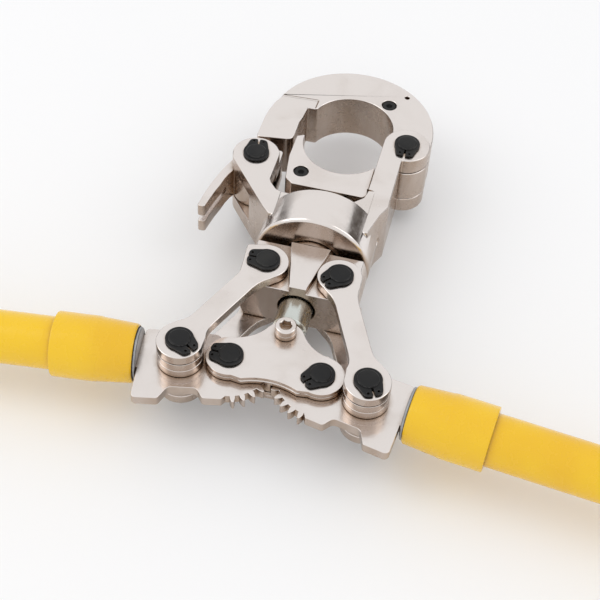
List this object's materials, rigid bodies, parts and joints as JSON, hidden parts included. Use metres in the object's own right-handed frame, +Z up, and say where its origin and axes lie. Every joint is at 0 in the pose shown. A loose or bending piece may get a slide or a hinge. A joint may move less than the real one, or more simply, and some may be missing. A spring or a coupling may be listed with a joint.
{
  "type": "pipe press tool",
  "caption": "Hand press tool with two geared toggle handles, a swivelling forked head, a hinged press ring with a spring latch and a rising die holder.",
  "frame": {"origin": "under the middle of the tool, on what it lies on", "axes": "+Y from the handles to the press ring, +X to the right as seen from the front, +Z up along all pivot pins, handles spread wide open along X"},
  "size_m": [1.0102, 0.2694, 0.0564],
  "materials": {
    "satin_nickel": "satin nickel plate, brushed, with warm reflections and handling marks",
    "black_oxide": "black oxide, semi-matte",
    "zinc_plate": "zinc plated, slightly greenish grey",
    "yellow_coating": "gloss yellow sleeve",
    "bare_steel": "bare grey steel",
    "black_rubber": "matte black grip"
  },
  "bodies": {
    "yoke": {"yoke": "satin_nickel", "yoke_pin_left": "black_oxide", "yoke_pin_right": "black_oxide", "yoke_circlip_left_front": "black_oxide", "yoke_circlip_left_back": "black_oxide", "yoke_circlip_right_front": "black_oxide", "yoke_circlip_right_back": "black_oxide"},
    "head": {"head_body": "satin_nickel", "swivel_set_screw": "black_oxide", "hinge_pin": "black_oxide", "latch_pin": "black_oxide", "hinge_circlip_front": "black_oxide", "hinge_circlip_back": "black_oxide", "latch_circlip_front": "black_oxide", "latch_circlip_back": "black_oxide", "latch_spring": "bare_steel"},
    "jaw": {"upper_jaw": "satin_nickel", "jaw_plug": "black_oxide"},
    "latch": {"latch": "satin_nickel"},
    "die_holder": {"die_holder": "satin_nickel", "holder_plug": "black_oxide"},
    "carriage": {"push_rod": "zinc_plate", "centre_plate_front": "satin_nickel", "centre_plate_back": "satin_nickel", "rod_screw": "satin_nickel", "gear_pin_left": "black_oxide", "gear_pin_right": "black_oxide", "gear_circlip_left_front": "black_oxide", "gear_circlip_left_back": "black_oxide", "gear_circlip_right_front": "black_oxide", "gear_circlip_right_back": "black_oxide"},
    "bracket_left": {"bracket_left": "satin_nickel", "spacer_left_front": "satin_nickel", "spacer_left_back": "satin_nickel", "handle_socket_left": "bare_steel", "handle_tube_left": "yellow_coating", "handle_collar_left": "yellow_coating"},
    "extension_left": {"inner_tube_left": "bare_steel", "grip_left": "black_rubber", "grip_cap_left": "black_rubber"},
    "link_left": {"link_left_front": "satin_nickel", "link_left_back": "satin_nickel", "handle_pin_left": "black_oxide", "handle_circlip_left_front": "black_oxide", "handle_circlip_left_back": "black_oxide"},
    "bracket_right": {"bracket_right": "satin_nickel", "spacer_right_front": "satin_nickel", "spacer_right_back": "satin_nickel", "handle_socket_right": "bare_steel", "handle_tube_right": "yellow_coating", "handle_collar_right": "yellow_coating"},
    "extension_right": {"inner_tube_right": "bare_steel", "grip_right": "black_rubber", "grip_cap_right": "black_rubber"},
    "link_right": {"link_right_front": "satin_nickel", "link_right_back": "satin_nickel", "handle_pin_right": "black_oxide", "handle_circlip_right_front": "black_oxide", "handle_circlip_right_back": "black_oxide"}
  },
  "joints": [
    {"name": "carriage_slide", "type": "slide", "parent": "yoke", "child": "carriage", "axis": [0, 1, 0], "range_m": [0, 0.0142]},
    {"name": "bracket_left_turn", "type": "hinge", "parent": "carriage", "child": "bracket_left", "pos_m": [-0.021, -0.06638, 0.0282], "axis": [0, 0, 1], "range_deg": [0, 71]},
    {"name": "bracket_right_turn", "type": "hinge", "parent": "carriage", "child": "bracket_right", "pos_m": [0.021, -0.06638, 0.0282], "axis": [0, 0, 1], "range_deg": [-71.6, 0]},
    {"name": "link_left_turn", "type": "hinge", "parent": "yoke", "child": "link_left", "pos_m": [-0.0175, -0.01477, 0.0282], "axis": [0, 0, 1], "range_deg": [0, 16.8]},
    {"name": "link_right_turn", "type": "hinge", "parent": "yoke", "child": "link_right", "pos_m": [0.0175, -0.01477, 0.0282], "axis": [0, 0, 1], "range_deg": [-16.8, 0]},
    {"name": "extension_left_slide", "type": "slide", "parent": "bracket_left", "child": "extension_left", "axis": [-0.9936, -0.1132, 0], "range_m": [0, 0.15]},
    {"name": "extension_right_slide", "type": "slide", "parent": "bracket_right", "child": "extension_right", "axis": [0.9936, -0.1132, 0], "range_m": [0, 0.15]},
    {"name": "head_swivel", "type": "hinge", "parent": "yoke", "child": "head", "pos_m": [0, 0.01523, 0.0282], "axis": [0, 1, 0], "continuous": true},
    {"name": "jaw_hinge", "type": "hinge", "parent": "head", "child": "jaw", "pos_m": [0.031, 0.08023, 0.0282], "axis": [0, 0, -1], "range_deg": [0, 110]},
    {"name": "latch_turn", "type": "hinge", "parent": "head", "child": "latch", "pos_m": [-0.0405, 0.05323, 0.0282], "axis": [0, 0, 1], "range_deg": [0, 20], "stiffness_Nm_per_rad": 0.4, "springref_deg": -20.05},
    {"name": "die_holder_slide", "type": "slide", "parent": "head", "child": "die_holder", "axis": [0, 1, 0], "range_m": [0, 0.0142]}
  ],
  "couplings": [
    {"joint": "bracket_right_turn", "follows": "bracket_left_turn", "ratio": -1},
    {"joint": "carriage_slide", "follows": "bracket_left_turn", "m_per_rad": 0.011361},
    {"joint": "die_holder_slide", "follows": "bracket_left_turn", "m_per_rad": 0.011361},
    {"joint": "link_left_turn", "follows": "bracket_left_turn", "ratio": 0.2346},
    {"joint": "link_right_turn", "follows": "bracket_left_turn", "ratio": -0.2346}
  ]
}
